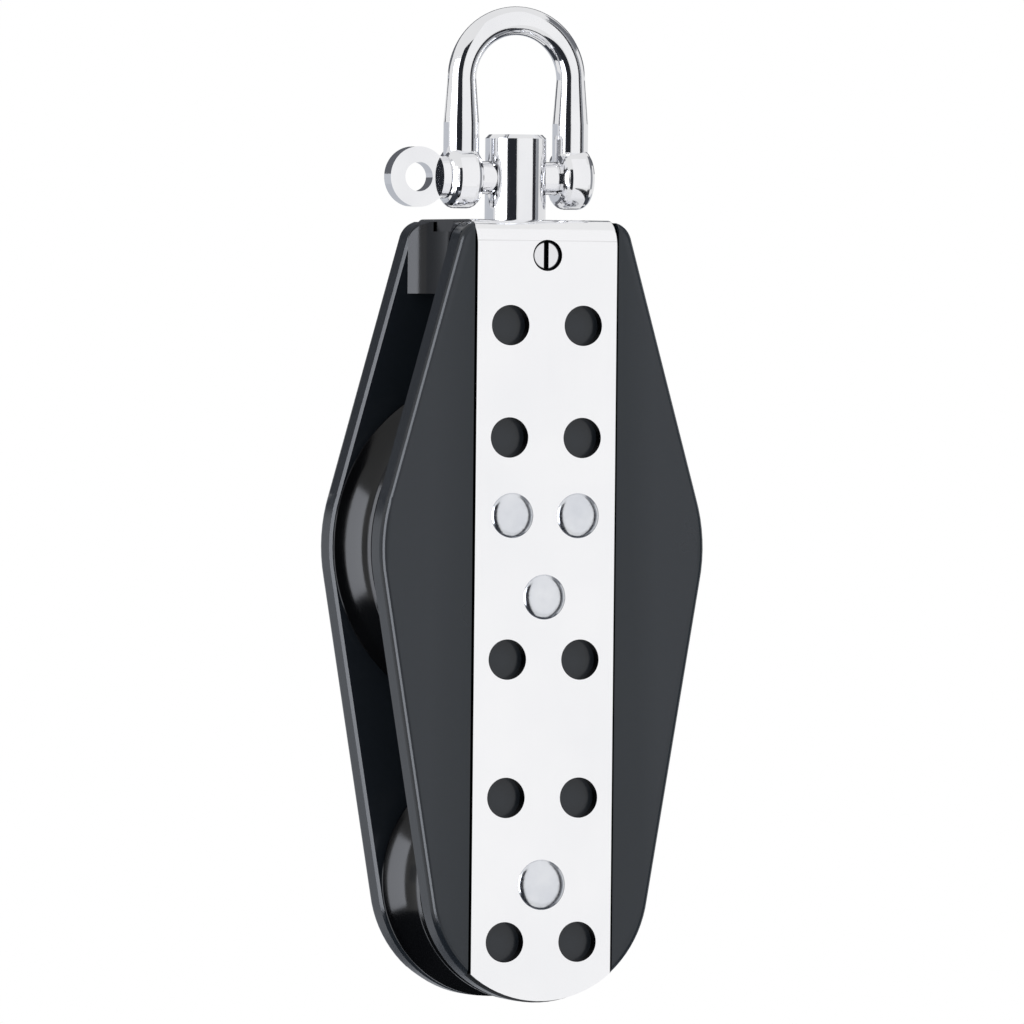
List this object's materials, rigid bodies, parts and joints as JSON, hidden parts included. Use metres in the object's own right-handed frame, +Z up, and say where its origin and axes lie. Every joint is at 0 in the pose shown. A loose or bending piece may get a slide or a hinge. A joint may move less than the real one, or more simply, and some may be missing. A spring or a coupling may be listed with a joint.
{
  "type": "swivel fiddle block",
  "caption": "Swivel fiddle block: large and small ball-bearing sheaves in line between black cheeks, full-length steel strap, D-shackle on a swivel post.",
  "frame": {"origin": "the inside of the crown of the shackle's bow, where the block hangs", "axes": "+Z up towards the bow with the block hanging below, +X across the block with the pin's eye on the -X side, -Y the front face with the lock screw"},
  "size_m": [0.0792, 0.0402, 0.2268],
  "materials": {
    "polished_steel": "mirror-polished stainless steel strap, shackle, post, pin and screw",
    "rivet_steel": "satin stainless rivets with dished heads",
    "race_steel": "ground steel inner races",
    "cheek_plastic": "satin charcoal-black moulded plastic",
    "sheave_plastic": "smooth glossy black sheaves",
    "bearing_plastic": "off-white acetal balls, rollers and washer"
  },
  "bodies": {
    "shackle": {"shackle_bow": "polished_steel"},
    "pin": {"shackle_pin": "polished_steel"},
    "swivel": {"swivel_post": "polished_steel"},
    "frame": {"front_cheek": "cheek_plastic", "rear_cheek": "cheek_plastic", "head_block": "cheek_plastic", "strap": "polished_steel", "thrust_washer": "bearing_plastic", "large_race": "race_steel", "small_race": "race_steel", "large_rivets": "rivet_steel", "small_rivet": "rivet_steel"},
    "lock": {"lock_screw": "polished_steel"},
    "large_wheel": {"large_sheave": "sheave_plastic"},
    "large_bearing": {"large_rollers": "bearing_plastic", "large_balls_front": "bearing_plastic", "large_balls_rear": "bearing_plastic"},
    "small_wheel": {"small_sheave": "sheave_plastic"},
    "small_bearing": {"small_rollers": "bearing_plastic", "small_balls_front": "bearing_plastic", "small_balls_rear": "bearing_plastic"}
  },
  "joints": [
    {"name": "pin_draw", "type": "slide", "parent": "shackle", "child": "pin", "axis": [-1, 0, 0], "range_m": [0, 0.036]},
    {"name": "shackle_tilt", "type": "hinge", "parent": "shackle", "child": "swivel", "pos_m": [0, 0, -0.0326], "axis": [1, 0, 0], "range_deg": [-100, 100]},
    {"name": "head_swivel", "type": "hinge", "parent": "swivel", "child": "frame", "pos_m": [0, 0, -0.0517], "axis": [0, 0, 1], "continuous": true},
    {"name": "lock_travel", "type": "slide", "parent": "frame", "child": "lock", "axis": [0, 1, 0], "range_m": [0, 0.0014]},
    {"name": "large_spin", "type": "hinge", "parent": "frame", "child": "large_wheel", "pos_m": [0, 0, -0.1169], "axis": [0, 1, 0], "continuous": true},
    {"name": "large_cage_spin", "type": "hinge", "parent": "frame", "child": "large_bearing", "pos_m": [0, 0, -0.1169], "axis": [0, 1, 0], "continuous": true},
    {"name": "small_spin", "type": "hinge", "parent": "frame", "child": "small_wheel", "pos_m": [0, 0, -0.1933], "axis": [0, 1, 0], "continuous": true},
    {"name": "small_cage_spin", "type": "hinge", "parent": "frame", "child": "small_bearing", "pos_m": [0, 0, -0.1933], "axis": [0, 1, 0], "continuous": true}
  ],
  "couplings": [
    {"joint": "large_cage_spin", "follows": "large_spin", "ratio": 0.5621},
    {"joint": "small_cage_spin", "follows": "small_spin", "ratio": 0.608}
  ]
}
